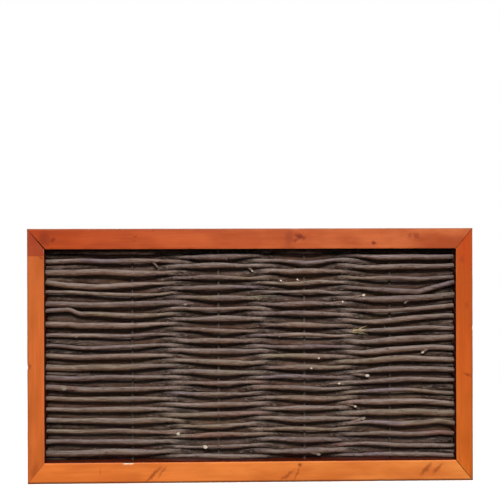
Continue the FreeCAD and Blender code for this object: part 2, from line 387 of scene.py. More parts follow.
def willow_bark():
    """Unpeeled willow, dried: thin bark that shrank on the rod.

    It is dull with a faint sheen, grey-brown with mauve, olive and reddish lengths (the tint of
    each rod, which also carries painted light and painted shade), finely wrinkled along the rod, and dotted
    with pale pores set across it.
    """
    material, tree, shader, place = new_material("unpeeled_dry_willow_bark", Specular_IOR_Level=0.1)
    tint = add(tree, "ShaderNodeAttribute", attribute_name="bark_tint_with_painted_light").outputs["Color"]

    # Wrinkles along the rod, 70 mm by 3 mm, weathered patches of 50 mm by 12 mm, pale streaks where the
    # outer skin split, 35 mm by 2.5 mm, and the cells of the pores, 8 mm by 5 mm, and of the bud scars,
    # 60 mm by 20 mm
    along, patchy, split, pored, budded = (
        add(tree, "ShaderNodeMapping", {"Vector": place, "Scale": (1 / length, 1 / width, 1 / width)})
        for length, width in ((0.07, 0.003), (0.05, 0.012), (0.035, 0.0025), (0.008, 0.005), (0.06, 0.02))
    )
    fine = {"Vector": along, "Scale": 1.0, "Detail": 4.0, "Roughness": 0.6}
    wrinkle = add(tree, "ShaderNodeTexNoise", fine)
    patch = add(tree, "ShaderNodeTexNoise", {"Vector": patchy, "Scale": 1.0, "Detail": 3.0})
    streak = add(tree, "ShaderNodeTexNoise", {"Vector": split, "Scale": 1.0, "Detail": 2.0})

    # Pores are short pale dashes across the rod, in about one in three of their cells. Bud scars are
    # dark marks of 6 mm by 2 mm, in half of theirs.
    dots = []
    for course, rim, heart, least in ((pored, 0.34, 0.16, 0.62), (budded, 0.16, 0.07, 0.5)):
        cells = add(tree, "ShaderNodeTexVoronoi", {"Vector": course, "Scale": 1.0})
        nearness = {"Value": cells.outputs["Distance"], "From Min": rim, "From Max": heart}
        dot = add(tree, "ShaderNodeMapRange", nearness)
        chosen = add(tree, "ShaderNodeMath", {0: cells.outputs["Color"], 1: least}, operation="GREATER_THAN")
        dots.append(add(tree, "ShaderNodeMath", {0: dot, 1: chosen}, operation="MULTIPLY"))
    pore, scar = dots

    layers = (
        (wrinkle, 0.6, 0.36, 0.7, linear("#362218")),
        (patch, 0.5, 0.78, 0.5, linear("#8F7C70")),
        (streak, 0.58, 0.7, 0.5, linear("#AA968A")),
        (pore, 0.0, 1.0, 0.35, linear("#A89A86")),
        (scar, 0.0, 1.0, 0.7, linear("#261911")),
    )
    colour = overlay(tree, tint, layers)
    sheen = {"Value": patch, "From Min": 0.3, "From Max": 0.7, "To Min": 0.5, "To Max": 0.7}
    gloss = add(tree, "ShaderNodeMapRange", sheen)
    raised = add(tree, "ShaderNodeMath", {0: pore, 1: 0.5}, operation="MULTIPLY")
    relief = add(tree, "ShaderNodeMath", {0: wrinkle, 1: raised}, operation="ADD")
    bump = add(tree, "ShaderNodeBump", {"Height": relief, "Strength": 0.6, "Distance": 0.6 * MM})
    feed(tree, shader, {"Base Color": colour, "Roughness": gloss, "Normal": bump})
    return material


def cut_willow(name, pale, deep):
    """Willow cut across or torn: pale dense wood, matt, with darker specks of dirt 2 mm apart."""
    return speckled(name, 2 * MM, 3.0, (0.4, 0.7), pale, deep, 0.3, Roughness=0.75)


def hot_rolled_steel():
    """Hot-rolled ribbed bar: grey-brown mill scale, dull, with thin brown rust, and a painted highlight along
    its two seams.
    """
    material, tree, shader, place = new_material("hot_rolled_ribbed_steel", Specular_IOR_Level=0.2)
    # Scale and rust in flakes of 12 mm
    scale = add(tree, "ShaderNodeTexNoise", {"Vector": place, "Scale": 1 / 0.012, "Detail": 4.0})
    # The pale tone on the seams is a painted highlight
    seam = add(tree, "ShaderNodeAttribute", attribute_name="seam").outputs["Fac"]
    layers = ((scale, 0.52, 0.68, 1.0, linear("#3A2A20")), (seam, 0.0, 1.0, 1.0, linear("#7E7268")))
    colour = overlay(tree, linear("#4C433B"), layers)
    gloss = add(tree, "ShaderNodeMapRange", {"Value": scale, "To Min": 0.5, "To Max": 0.75})
    bump = add(tree, "ShaderNodeBump", {"Height": scale, "Strength": 0.2, "Distance": 0.2 * MM})
    feed(tree, shader, {"Base Color": colour, "Roughness": gloss, "Normal": bump})
    return material


def yellow_zinc():
    """Yellow zinc-plated screw: warm bright metal with an uneven iridescent film, dulled by handling."""
    material, tree, shader, place = new_material("yellow_zinc_plated_steel", Metallic=1.0)
    # The film changes every 4 mm
    film = add(tree, "ShaderNodeTexNoise", {"Vector": place, "Scale": 1 / 0.004, "Detail": 3.0})
    colour = overlay(tree, linear("#D8B866"), [(film, 0.0, 1.0, 1.0, linear("#A88A4C"))])
    gloss = add(tree, "ShaderNodeMapRange", {"Value": film, "To Min": 0.25, "To Max": 0.5})
    feed(tree, shader, {"Base Color": colour, "Roughness": gloss})
    return material


# Frame boards

# The numbers of a board's materials: its faces, its sawn ends and its inner face, which takes a darker copy
# of the stain as painted shade
ON_FACE, ON_END, ON_RECESS = range(3)
ARRIS = 3 * MM
ARRIS_STEPS = 6
SIDE_STEPS = 14
BOARD_STEPS = 300
EDGE_BAND = 9 * MM
SCREW_PLACES = (-20 * MM, 20 * MM)
SCREW_RISE = 34 * MM
SCREW_HEAD = 6 * MM
SCREW_ROOM = 0.4 * MM
SCREW_SINK = 3.4 * MM
SCREW_REACH = 8
PLANING_WAVE = 0.12 * MM
SCUFF_DEPTH = 0.5 * MM
# A board's marks fade out over this share of its length at each end
END_FADE = 1 / 60
TOUCHING = 1e-6


def around_screws(values, centres):
    """Adds a point every millimetre near each screw to places along a side, to make its countersink round."""
    near = np.arange(-SCREW_REACH, SCREW_REACH + 1) * MM
    close = np.concatenate([centre + near for centre in centres])
    far = np.abs(values[:, None] - np.array(centres)).min(1) > (SCREW_REACH + 0.5) * MM
    return np.sort(np.concatenate([values[far], close]))


def board_section(width, screw_places):
    """The section of a board, as points round it, the way each faces, and how far it is on an arris.

    The first column runs across the board from 0 at its inner edge, and the second from front to
    back. Straight sides are divided evenly and the four corners are quarter circles.
    """
    half = DEPTH / 2
    across = np.linspace(ARRIS, width - ARRIS, SIDE_STEPS)[1:-1]
    deep = np.linspace(-half + ARRIS, half - ARRIS, SIDE_STEPS)[1:-1]
    outer = around_screws(deep, screw_places) if screw_places else deep
    sides = (
        np.stack([across, np.full_like(across, -half)], 1),
        np.stack([np.full_like(outer, width), outer], 1),
        np.stack([across[::-1], np.full_like(across, half)], 1),
        np.stack([np.zeros_like(deep), deep[::-1]], 1),
    )
    near, far, front, back = ARRIS, width - ARRIS, -half + ARRIS, half - ARRIS
    corners = ((far, front), (far, back), (near, back), (near, front))
    places, facings, rims = [], [], []
    for number, (side, corner) in enumerate(zip(sides, corners)):
        start = (number - 1) * np.pi / 2
        facing = np.array([np.cos(start), np.sin(start)])
        angles = start + np.linspace(0, np.pi / 2, ARRIS_STEPS)
        round_corner = np.stack([np.cos(angles), np.sin(angles)], 1)
        places += [side, np.array(corner) + ARRIS * round_corner]
        facings += [np.tile(facing, (len(side), 1)), round_corner]
        rims += [np.zeros(len(side)), np.sin(np.linspace(0, np.pi, ARRIS_STEPS))]
    return np.concatenate(places), np.concatenate(facings), np.concatenate(rims)


def make_board(name, materials, upright, inner, outwards, ends, gaps, marks, bare_marks, rng):
    """A planed board with mitred ends.

    Its section is carried along the board; at the height across that a point has, the board runs
    from one mitre line to the other. Points move along the way they face by a slow planing
    wave, by dents that fall off as a bell curve, and by the cones of the screw holes.
    The inner edge and the way out give where the board lies, and the ends are the two mitres at
    the inner and the outer edge, with the gaps by which they have opened at the front; at the back
    they are tight. Marks are dents: place along, across and deep, reach along and round, and depth.
    """
    width = STILE_WIDTH if upright else RAIL_WIDTH
    screw_places = SCREW_PLACES if upright else ()
    screw_heights = (FLOOR + SCREW_RISE, TOP - SCREW_RISE)
    section, facing, rim = board_section(width, screw_places)
    share = section[:, 0] / width
    opened = 0.5 - section[:, 1] / DEPTH
    first_gap, last_gap = (opened * (gap[0] + (gap[1] - gap[0]) * share) for gap in gaps)
    start = ends[0][0] + (ends[0][1] - ends[0][0]) * share + first_gap
    end = ends[1][0] + (ends[1][1] - ends[1][0]) * share - last_gap
    steps = np.linspace(0, 1, BOARD_STEPS)
    if upright:
        outer_start, outer_length = ends[0][1], ends[1][1] - ends[0][1]
        steps = around_screws(outer_start + steps * outer_length, screw_heights)
        steps = np.clip((steps - outer_start) / outer_length, 0, 1)
    along = start + steps[:, None] * (end - start)
    across = np.broadcast_to(section[:, 0], along.shape)
    deep = np.broadcast_to(section[:, 1], along.shape)

    wave = -PLANING_WAVE * np.clip(1 + wander(along + 0.4 * deep, 0.35, 4, rng), 0, 2)
    scuff = np.clip(wander(along + 3 * deep, 0.13, 5, rng), 0, None) * rim
    lift = wave - SCUFF_DEPTH * scuff
    bare = np.zeros_like(along)
    for mark in marks + bare_marks:
        mark_along, mark_across, mark_deep, reach, round_reach, depth = mark
        bell = np.exp(
            -(((along - mark_along) / reach) ** 2)
            - ((across - mark_across) / round_reach) ** 2
            - ((deep - mark_deep) / round_reach) ** 2
        )
        lift = lift - depth * bell
        if mark in bare_marks:
            bare = np.maximum(bare, np.clip(1.6 * bell - 0.3, 0, 1))
    lift = lift * np.clip(np.minimum(steps, 1 - steps) / END_FADE, 0, 1)[:, None]
    for height in screw_heights if upright else ():
        for place in screw_places:
            reach = np.hypot(along - height, deep - place)
            cone = np.clip(SCREW_HEAD + SCREW_ROOM - reach, 0, SCREW_SINK)
            lift = lift - cone * (section[:, 0] > width - TOUCHING)
    across = across + lift * facing[:, 0]
    deep = deep + lift * facing[:, 1]

    # The inner arrises are rubbed, more where they are scuffed, and carry a painted highlight; the outer edge
    # is weathered
    worn_and_lit = np.clip(0.45 * rim + 0.8 * scuff, 0, 1) * rim
    near_edge = np.clip(1 - (width - section[:, 0]) / EDGE_BAND, 0, 1) * (np.abs(facing[:, 1]) > 0.1)
    weathered = 0.75 * near_edge * (0.7 + 0.6 * scuff) + 0.3 * (facing[:, 0] > 0.95)
    looks = {"rubbed_and_lit": worn_and_lit * (share < 0.5), "weathered": weathered, "bare": bare}
    inside = section[:, 0] < TOUCHING
    level = inner + outwards * across
    columns = (level, deep, along) if upright else (along, deep, level)
    rings = np.stack(columns, -1)
    if upright == (outwards > 0):
        rings = rings[:, ::-1]
        looks = {look: values[:, ::-1] for look, values in looks.items()}
        inside = inside[::-1]
    points, faces = tube(rings)
    round_numbers = np.where(inside & np.roll(inside, -1), ON_RECESS, ON_FACE)
    numbers = np.tile(round_numbers, len(steps) - 1).tolist() + [ON_END] * 2
    piece = make_piece(name + "_board", name, points, faces, materials, numbers)
    for look, values in looks.items():
        mark_points(piece, look, "FLOAT", values)


# Willow rods

# The numbers of a rod's materials: its bark, fresh cuts, old cuts and torn fibre
ON_BARK, ON_FRESH_CUT, ON_OLD_CUT, ON_FIBRE = range(4)
ROD_STEPS = 400
ROD_AROUND = 18
# How far the ends of a rod come to the front, or stay behind, by chance
FRONT_ENDS = (0.7, 1.0)
REAR_ENDS = (-0.1, 0.9)
# How soon a rod changes sides between two stakes
CROSSING_HASTE = 1.05
# Half heights, in shares of the rod's radius, where rods cross and in front of and behind a stake
CROSSING_HEIGHT = 0.6
FRONT_HEIGHT = 1.12
REAR_HEIGHT = 1.26
HEIGHT_EASE = 1.3
CROSSING_DEPTH = 1.1
CROSSING_SPREAD = 34 * MM
# How far the rows rise and fall together and each by itself, and how rods differ in thickness
ROW_WAVES = 3.4 * MM
OWN_WAVES = 4.6 * MM
THICKNESS = (0.75, 1.1)
TAPER = 0.07
UNEVENNESS = 0.07
SETTLE_AT_FOOT = 8 * MM
FOOT_GAP = 1 * MM
HEAD_GAP = -0.8 * MM
# Slits between rows, as seen from the eye, are closed up to this overlap
OVERLAP_SEEN = 2.5 * MM
WIDEST_SLIT = 14 * MM
SLIT_SPREAD = 9
# How fast the rod further back takes over a slit, and the least that the one in front takes
SLIT_SHARE = 0.45
SMALLEST_SHARE = 0.05
# How much of a bend the next row follows
BEND_FOLLOWED = 0.6
# Shares of the bark's red, green and blue (and alpha): painted light, paler and greyer above, and painted
# shade, warm and dark below
TOP_LIGHT_SHARES = np.array([1.17, 1.45, 1.64, 1.0])
UNDER_SHADE_SHARES = np.array([0.95, 0.75, 0.6, 1.0])
PAINTED_LIGHT_ANGLE = math.radians(110)
PAINTED_LIGHT_FOCUS = 3
# Painted shade in the hollows, where rods cross, at their sawn ends and under the top rail; in the hollows
# some rods get painted light instead
HOLLOW_DEPTH = 17 * MM
HOLLOW_PAINTED_SHADE = np.array([0.7, 0.64, 0.6, 0.0])
HOLLOW_SHADE_BY_ROD = (-1.0, 0.5)
CROSSING_PAINTED_SHADE = 1.0
# How sharply and how late painted shade darkens a rod as it dives, and how far up its underside the painted
# shade reaches
CROSSING_TURN = 1.6
CROSSING_LATE = 0.1
CROSSING_UNDERSIDE = 0.3
# Painted shade at the rods' sawn ends, next to the stiles: its reach and strength
END_SHADE_REACH = 9 * MM
END_SHADE_STRENGTH = 0.6
# Painted shadow of the top rail on the rods close under it: its reach and strength
RAIL_SHADOW_REACH = 36 * MM
RAIL_SHADOW_STRENGTH = 0.7
BARK_TINTS = ("#82685B", "#755E54", "#7D6552", "#8A6F62", "#6D5650", "#7A5E51", "#7C665B")
TINT_PATCHES = ("#85544A", "#776847", "#6F5C66")
FIBRE_TINT = "#8C7A50"
# Ranges of chance, in millimetres: the room at a rod's ends, how far askew they are sawn, and the
# spacing of its buds
LEFT_ROOM = (0.3, 2.0)
RIGHT_ROOM = (0.5, 4.0)
ASKEW = (-2.5, 2.5)
BUD_SPACING = (60, 170)
BUDS = 16
BUD_LENGTH = 4 * MM
BUD_HEIGHT = 0.05
# Lobes of a section: how many, their height, their twist, and the metres over which they turn
LOBES = ((2, 0.022, 3, 0.8), (3, 0.014, 4, 0.5))
GIRTH_WAVES = 0.012
FULLEST_GIRTH = 1.05
# Stubs of side shoots: the fewest on a rod and one more than the most, their radius and length in
# millimetres, how deep they root, their radii from root to tip, and the room kept at a rod's ends
STUBS = (3, 7)
STUB_RADIUS = (1.6, 3.0)
STUB_LENGTH = (5.0, 9.0)
STUB_ROOT = 2.5 * MM
STUB_SHAPE = np.array([1.45, 1.08, 0.98, 0.96])
STUB_ROOM = 30 * MM
# Splinters at a break, and their radii from root to tip
SPLINTERS = 24
SPLINTER_SHAPE = np.array([1.3, 1.0, 0.6, 0.15])

# Rods that leave their row, as the photograph shows: a pixel on the rod, and the pixel columns
# at which it is lifted by so many millimetres
ROD_BENDS = (
    ((60, 311), ((46, 12), (69, 18), (79, 0))),
    ((400, 291), ((385, 2), (417, -14), (452, 18))),
    ((400, 425), ((352, 0), (395, -4), (425, 6), (440, 17), (452, 8))),
    ((90, 283), ((48, 8), (66, -4), (90, -7), (120, 0))),
    ((300, 258), ((275, 4), (305, -8), (340, 3))),
    ((330, 281), ((290, -5), (318, 6), (350, -4))),
)
# Cut ends and shoots with pale faces: pixel column and line, radius and length in millimetres,
# and the way they point along the panel
PALE_CUTS = (
    (366, 376, 5.8, 90, 1),
    (338, 384, 4.2, 60, 1),
    (177, 433, 6.0, 130, 1),
    (203.5, 446, 7.0, 70, -1),
    (421.5, 353, 4.0, 30, -1),
    (309.6, 368, 3.4, 24, 1),
    (317, 358, 3.2, 18, 1),
    (342, 302, 4.6, 60, 1),
    (362.5, 295.4, 4.8, 60, 1),
    (354, 407, 3.8, 50, 1),
    (279.5, 280.6, 2.9, 16, -1),
    (296, 279.6, 2.9, 16, -1),
    (251, 271, 3.4, 20, 1),
)
# The same, cut long ago and grey
GREY_CUTS = (
    (64, 386, 9.5, 60, -1),
    (362, 419, 6.0, 60, 1),
    (184, 304, 5.0, 50, -1),
    (317, 454, 6.0, 50, 1),
    (404, 303, 3.4, 20, -1),
    (156, 266, 3.4, 20, 1),
)
CUT_SLANT = 1.33
FRAYED_BREAK = (357, 331)


def stake_places():
    """The distance of each stake along the panel, and the depth of their line."""
    boxes = [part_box(name) for name in STAKES]
    places = np.array([(low.x + high.x) / 2 for low, high in boxes])
    return places, float(np.mean([(low.y + high.y) / 2 for low, high in boxes]))


def weave_side(x, row, stakes, rng):
    """How far a row lies behind the line of stakes (1) or in front of it (-1).

    It passes each stake on the other side than the one before, easing from stake to stake, most
    of the way half-way between them. Its ends, which nothing holds, stay in front at a stile or
    come forward there by chance.
    """
    sides = (-1.0) ** (row + np.arange(len(stakes)))
    knots = np.concatenate([[OPENING_LEFT], stakes, [OPENING_RIGHT]])
    ends = [end * rng.uniform(*(FRONT_ENDS if end < 0 else REAR_ENDS)) for end in (sides[0], sides[-1])]
    values = np.concatenate([ends[:1], sides, ends[1:]])
    index = np.clip(np.searchsorted(knots, x) - 1, 0, len(knots) - 2)
    t = (x - knots[index]) / (knots[index + 1] - knots[index])
    return values[index] + (values[index + 1] - values[index]) * smooth(0.5 + CROSSING_HASTE * (t - 0.5))


def widened(values, reach):
    """Spreads peaks along the rods: the greatest value within reach either way, then the mean of those."""
    for gather in (np.max, np.mean):
        padded = np.pad(values, ((0, 0), (reach, reach)), mode="edge")
        values = gather(np.lib.stride_tricks.sliding_window_view(padded, 2 * reach + 1, axis=1), axis=-1)
    return values


def bend_rods(x, lie, side):
    """Lifts the rods that leave their row, along straight runs with rounded corners.

    The rows that a bend moves away from follow it, each less than the one before.
    """
    rounding = 2
    for (column, pixel_line), bends in ROD_BENDS:
        row = front_row(from_pixel(column, pixel_line), x, lie, side)
        columns = [from_pixel(bend[0], pixel_line)[0] for bend in bends]
        lift = np.interp(x, columns, [bend[1] * MM for bend in bends])
        padded = np.pad(lift, rounding, mode="edge")
        lift = np.lib.stride_tricks.sliding_window_view(padded, 2 * rounding + 1).mean(-1)
        lie[row] += lift
        for away in (1, 2, 3):
            if row >= away:
                lie[row - away] += np.clip(lift, 0, None) * BEND_FOLLOWED**away
            if row + away < len(lie):
                lie[row + away] += np.clip(lift, None, 0) * BEND_FOLLOWED**away
    return lie


def push_apart(depth, lie, broad, tall):
    """Moves rods up and down until none cuts into the next or the next but one.

    Two ovals touch where their heights apart, over the sum of their half heights, and their
    depths apart, over the sum of their half depths, are the legs of a right triangle with a long
    side of 1.
    """
    for _ in range(80):
        for apart in (1, 2):
            gap = lie[apart:] - lie[:-apart]
            reach = (depth[apart:] - depth[:-apart]) / (broad[apart:] + broad[:-apart])
            needed = (tall[apart:] + tall[:-apart]) * np.sqrt(np.clip(1 - reach**2, 0, 1))
            push = np.clip(needed - gap, 0, None) / 2
            lie[apart:] += push
            lie[:-apart] -= push
        lie = np.clip(lie, OPENING_LOW + FOOT_GAP + tall, OPENING_HIGH - HEAD_GAP - tall)
    return lie


def close_slits(depth, lie, broad, tall, side, line):
    """Thickens rods towards each other until no light shows between two rows.

    Seen from the eye, a rod behind the line of stakes shows higher by that distance times the
    slope of sight. Its outline reaches up and down by the long side of a right triangle: its half
    height, and its half depth times that slope. Of two rods, the one further back takes the
    larger share of the slit between them, on the side that faces it, and the top rod fills up to
    the rail.
    """
    upper_share = 0.5 + SLIT_SHARE * (side[1:] - side[:-1])
    upper_share = np.clip(upper_share, SMALLEST_SHARE, 1 - SMALLEST_SHARE)
    for _ in range(6):
        slope = (EYE_HEIGHT - lie) / EYE_DISTANCE
        seen = lie + (depth - line) * slope
        reach = np.hypot(tall, broad * slope)
        slit = seen[1:] - reach[1:] - seen[:-1] - reach[:-1] + OVERLAP_SEEN
        grow = widened(np.clip(slit, 0, WIDEST_SLIT), SLIT_SPREAD) / 2
        tall[1:] += grow * upper_share
        lie[1:] -= grow * upper_share
        tall[:-1] += grow * (1 - upper_share)
        lie[:-1] += grow * (1 - upper_share)
    above = (OPENING_HIGH - HEAD_GAP - lie[-1] - tall[-1]) / 2
    tall[-1] += above
    lie[-1] += above
    return lie, tall


def lay_weave():
    """Works out where every rod lies, as arrays of row and place along the panel.

    Each rod swings past the stakes by its radius and theirs. The rows rise and fall together in
    slow waves that die out at the rails, and each wavers a little by itself. Behind the stakes a
    rod has settled lower than in front, most at the foot of the panel. Rods are tall where they
    have room, at the stakes, and thin where they cross.
    """
    rng = np.random.default_rng(SEED)
    stakes, line = stake_places()
    boxes = [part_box(name) for name in RODS]
    height = np.array([(low.z + high.z) / 2 for low, high in boxes])[:, None]
    radius = np.array([(high.z - low.z) / 2 for low, high in boxes])[:, None]
    swing = np.array([(high.y - low.y) / 2 for low, high in boxes])[:, None] - radius
    x = np.linspace(OPENING_LEFT, OPENING_RIGHT, ROD_STEPS)
    rows = len(RODS)
    side = np.stack(
        [weave_side(x + CROSSING_SPREAD * wander(x, 0.9, 2, rng), row, stakes, rng) for row in range(rows)]
    )
    share = (height - OPENING_LOW) / (OPENING_HIGH - OPENING_LOW)
    fade = np.sin(np.pi * share) ** 0.5

    waves = np.zeros((rows, ROD_STEPS))
    for length, rise in ((1.3, 0.9), (0.8, 1.3), (0.55, 1.1)):
        phase = rng.uniform(0, 2 * np.pi)
        slant = rng.choice([-1, 1]) * 2 * np.pi / rise
        waves += np.sin(2 * np.pi * x / length + slant * height + phase)
    own = np.stack([wander(x, 0.9, 3, rng) for _ in range(rows)])
    depth = line + swing * side
    lie = height + ROW_WAVES * waves * fade + OWN_WAVES * own - side * SETTLE_AT_FOOT / 2 * (1 - share)

    taper = np.stack([1 + rng.choice([-1, 1]) * TAPER * x / OPENING_RIGHT for _ in range(rows)])
    uneven = 1 + UNEVENNESS * np.stack([wander(x, 0.8, 3, rng) for _ in range(rows)])
    thick = rng.uniform(*THICKNESS, (rows, 1)) * taper * uneven
    at_stake = np.where(side < 0, FRONT_HEIGHT, REAR_HEIGHT)
    tall = radius * (CROSSING_HEIGHT + (at_stake - CROSSING_HEIGHT) * np.abs(side) ** HEIGHT_EASE) * thick
    broad = radius * (CROSSING_DEPTH + (1 - CROSSING_DEPTH) * np.abs(side)) * np.minimum(thick, 1)
    lie = bend_rods(x, lie, side)
    lie = push_apart(depth, lie, broad, tall)
    lie, tall = close_slits(depth, lie, broad, tall, side, line)
    return x, depth, lie, broad, tall, side


def front_row(place, x, lie, side):
    """The row in front of the stakes that passes nearest to a place along the panel and up it."""
    column = int(np.argmin(np.abs(x - place[0])))
    away = np.abs(lie[:, column] - place[1]) + np.where(side[:, column] > 0.15, 1.0, 0.0)
    return int(np.argmin(away))


def shoot(base, heading, length, radii, tint, ends, slant=0.0, around=8):
    """A cut shoot, a rod's end or a splinter: rings round a straight line, with radii from base to tip.

    The tip is cut flat, or slanted: its points reach further the further back they lie, so that
    the cut faces the front. The two ends take the material numbers given.
    """
    heading = heading / np.linalg.norm(heading)
    first = np.cross(heading, [0.0, 0.0, 1.0])
    first /= np.linalg.norm(first)
    second = np.cross(heading, first)
    steps = np.linspace(0, length, len(radii))
    angles = round_turn(around)
    round_ring = np.cos(angles)[:, None] * first + np.sin(angles)[:, None] * second
    rings = base + steps[:, None, None] * heading + np.array(radii)[:, None, None] * round_ring
    rings[-1] += slant * radii[-1] * round_ring[:, 1:2] * heading
    points, faces = tube(rings)
    numbers = [ends[0]] * (len(faces) - 1) + [ends[1]]
    return points, faces, numbers, np.tile(tint, (len(points), 1))


def rod_tint(x, rng):
    """The bark's colour along a rod.

    It drifts between two of the tints, with reddish, olive or mauve lengths.
    """
    chosen = rng.choice(len(BARK_TINTS), 2, replace=False)
    one, other = (np.array(linear(BARK_TINTS[index])) for index in chosen)
    patch = np.array(linear(TINT_PATCHES[rng.integers(len(TINT_PATCHES))]))
    drift = smooth(0.5 + 0.6 * wander(x, 1.1, 3, rng))[:, None]
    strength = rng.choice([0.0, 0.25, 0.6], p=[0.4, 0.35, 0.25])
    spot = strength * smooth(0.9 * (wander(x, 0.9, 3, rng) - 0.05))[:, None]
    return (one + (other - one) * drift) * (1 - spot) + patch * spot


def bark_skin(row, weave, x, turn, rings, tint, rng):
    """The bark's colour at each point of a rod's rings: its tint times shares of painted light and painted
    shade.
    """
    grid, depth, _, broad, _, side = weave
    # The upper side is paler with painted light, the underside darker with painted shade, and the ends darker
    # with painted shade
    # Painted light on the upper side of the rod, painted shade on its underside
    facing_light = smooth(0.5 + 0.5 * np.cos(turn - PAINTED_LIGHT_ANGLE))[:, None] ** PAINTED_LIGHT_FOCUS
    light_and_shade = UNDER_SHADE_SHARES + (TOP_LIGHT_SHARES - UNDER_SHADE_SHARES) * facing_light
    shade_at_ends = np.exp(-(x - x[0]) / END_SHADE_REACH) + np.exp(-(x[-1] - x) / END_SHADE_REACH)
    # In the hollows some rods are darkened with painted shade and some are lightened with painted light:
    # the more so, the deeper a point lies behind the foremost of this rod and its neighbours, or
    # before the hindmost, whichever is nearer
    beside = slice(max(row - 1, 0), row + 2)
    foremost = np.interp(x, grid, (depth - broad)[beside].min(0))[:, None]
    hindmost = np.interp(x, grid, (depth + broad)[beside].max(0))[:, None]
    hollow = np.minimum(rings[..., 1] - foremost, hindmost - rings[..., 1]) / HOLLOW_DEPTH
    # Painted shade where the rods cross: on the side with which one dives behind its neighbours, and
    # underneath
    swing = np.interp(x, grid, side[row])[:, None]
    dived = smooth(0.5 - CROSSING_TURN * (swing * np.cos(turn) + CROSSING_LATE))
    crossing_shade = (1 - swing**2) * np.maximum(dived, smooth(CROSSING_UNDERSIDE - np.sin(turn)))
    # Painted shade in the hollows, which becomes painted light for a rod whose share is below zero
    hollow_tone = rng.uniform(*HOLLOW_SHADE_BY_ROD) * smooth(hollow)[..., None] * HOLLOW_PAINTED_SHADE
    # Close under the top rail the rods are darkened by a painted shadow of the rail
    under_rail = smooth((rings[..., 2] - OPENING_HIGH + RAIL_SHADOW_REACH) / RAIL_SHADOW_REACH)
    shade = 1 - END_SHADE_STRENGTH * shade_at_ends[:, None] - CROSSING_PAINTED_SHADE * crossing_shade - RAIL_SHADOW_STRENGTH * under_rail
    return tint[:, None, :] * light_and_shade * np.clip(1 - hollow_tone, 0, 2) * np.clip(shade, 0, 1)[..., None]


def make_rod(row, weave, cuts):
    """A willow rod: oval sections carried along its line.

    A section is the oval with two or three faint lobes that turn slowly along the rod, and a
    swelling at each bud: a narrow bell along the rod, fuller on the bud's side. Cut shoots stand
    on its surface, and both ends are sawn off a little askew.
    """
    grid, depth, lie, broad, tall, _ = weave
    rng = np.random.default_rng([SEED, row])
    start = OPENING_LEFT + rng.uniform(*LEFT_ROOM) * MM
    end = OPENING_RIGHT - rng.uniform(*RIGHT_ROOM) * MM
    x = np.linspace(start, end, ROD_STEPS)
    middle_y, middle_z, half_y, half_z = (np.interp(x, grid, line[row]) for line in (depth, lie, broad, tall))
    turn = round_turn(ROD_AROUND)
    lobes = np.zeros((ROD_STEPS, ROD_AROUND))
    for count, height, twist, length in LOBES:
        lobes += height * np.sin(count * turn + twist * wander(x, length, 2, rng)[:, None])
    buds = np.cumsum(rng.uniform(*BUD_SPACING, BUDS) * MM) + start
    bud_sides = rng.uniform(0, 2 * np.pi, len(buds))
    bells = np.exp(-(((x[:, None] - buds) / BUD_LENGTH) ** 2))
    fuller = 0.35 + 0.65 * np.cos(turn[:, None] - bud_sides) ** 2
    swelling = BUD_HEIGHT * bells @ fuller.T
    girth = 1 + lobes + swelling + GIRTH_WAVES * wander(x, 0.2, 4, rng)[:, None]
    girth = np.minimum(girth, FULLEST_GIRTH)
    tilt = np.zeros(ROD_STEPS)
    tilt[0], tilt[-1] = rng.uniform(*ASKEW, 2) * MM
    rings = np.stack(
        [
            x[:, None] + tilt[:, None] * np.sin(turn),
            middle_y[:, None] + half_y[:, None] * girth * np.cos(turn),
            middle_z[:, None] + half_z[:, None] * girth * np.sin(turn),
        ],
        -1,
    )
    points, faces = tube(rings)
    tint = rod_tint(x, rng)
    skin = bark_skin(row, weave, x, turn, rings, tint, rng)
    shapes = [(points, faces, [ON_BARK] * (len(faces) - 2) + [ON_OLD_CUT] * 2, skin.reshape(-1, 4))]

    # Side shoots cut off by the weaver, grey with age
    for place in rng.uniform(start + STUB_ROOM, end - STUB_ROOM, rng.integers(*STUBS)):
        index = int(np.argmin(np.abs(x - place)))
        angle = rng.uniform(0, 2 * np.pi)
        outwards = np.array([0.0, np.cos(angle), np.sin(angle)])
        if row in (0, len(RODS) - 1):
            outwards[2] = abs(outwards[2]) if row == 0 else -abs(outwards[2])
        spot = np.array([x[index], middle_y[index], middle_z[index]])
        surface = spot + outwards * np.array([0.0, half_y[index], half_z[index]])
        heading = 0.8 * outwards + np.array([rng.choice([-0.7, 0.7]), 0.0, 0.0])
        radii = rng.uniform(*STUB_RADIUS) * MM * STUB_SHAPE
        base = surface - STUB_ROOT * outwards
        length = rng.uniform(*STUB_LENGTH) * MM
        shapes.append(shoot(base, heading, length, radii, tint[index], (ON_BARK, ON_OLD_CUT)))

    # Cut ends at the places the photograph shows: each leaves the rod's middle and comes out in front
    for place, size, length, way, finish in cuts:
        index = int(np.argmin(np.abs(x - place[0])))
        root = int(np.argmin(np.abs(x - place[0] + way * length * MM)))
        rise = np.clip((place[1] - middle_z[index]) / half_z[index], -0.9, 0.9)
        tip_y = middle_y[index] - half_y[index] * math.sqrt(1 - rise * rise) - 0.5 * size * MM
        tip = np.array([place[0], tip_y, place[1]])
        base = np.array([x[root], middle_y[root], middle_z[root]])
        reach = float(np.linalg.norm(tip - base))
        radii = np.linspace(max(size * MM, 0.8 * min(half_y[root], half_z[root])), size * MM, 5)
        shapes.append(shoot(base, tip - base, reach, radii, tint[index], (ON_BARK, finish), CUT_SLANT, 12))
    return join(shapes)


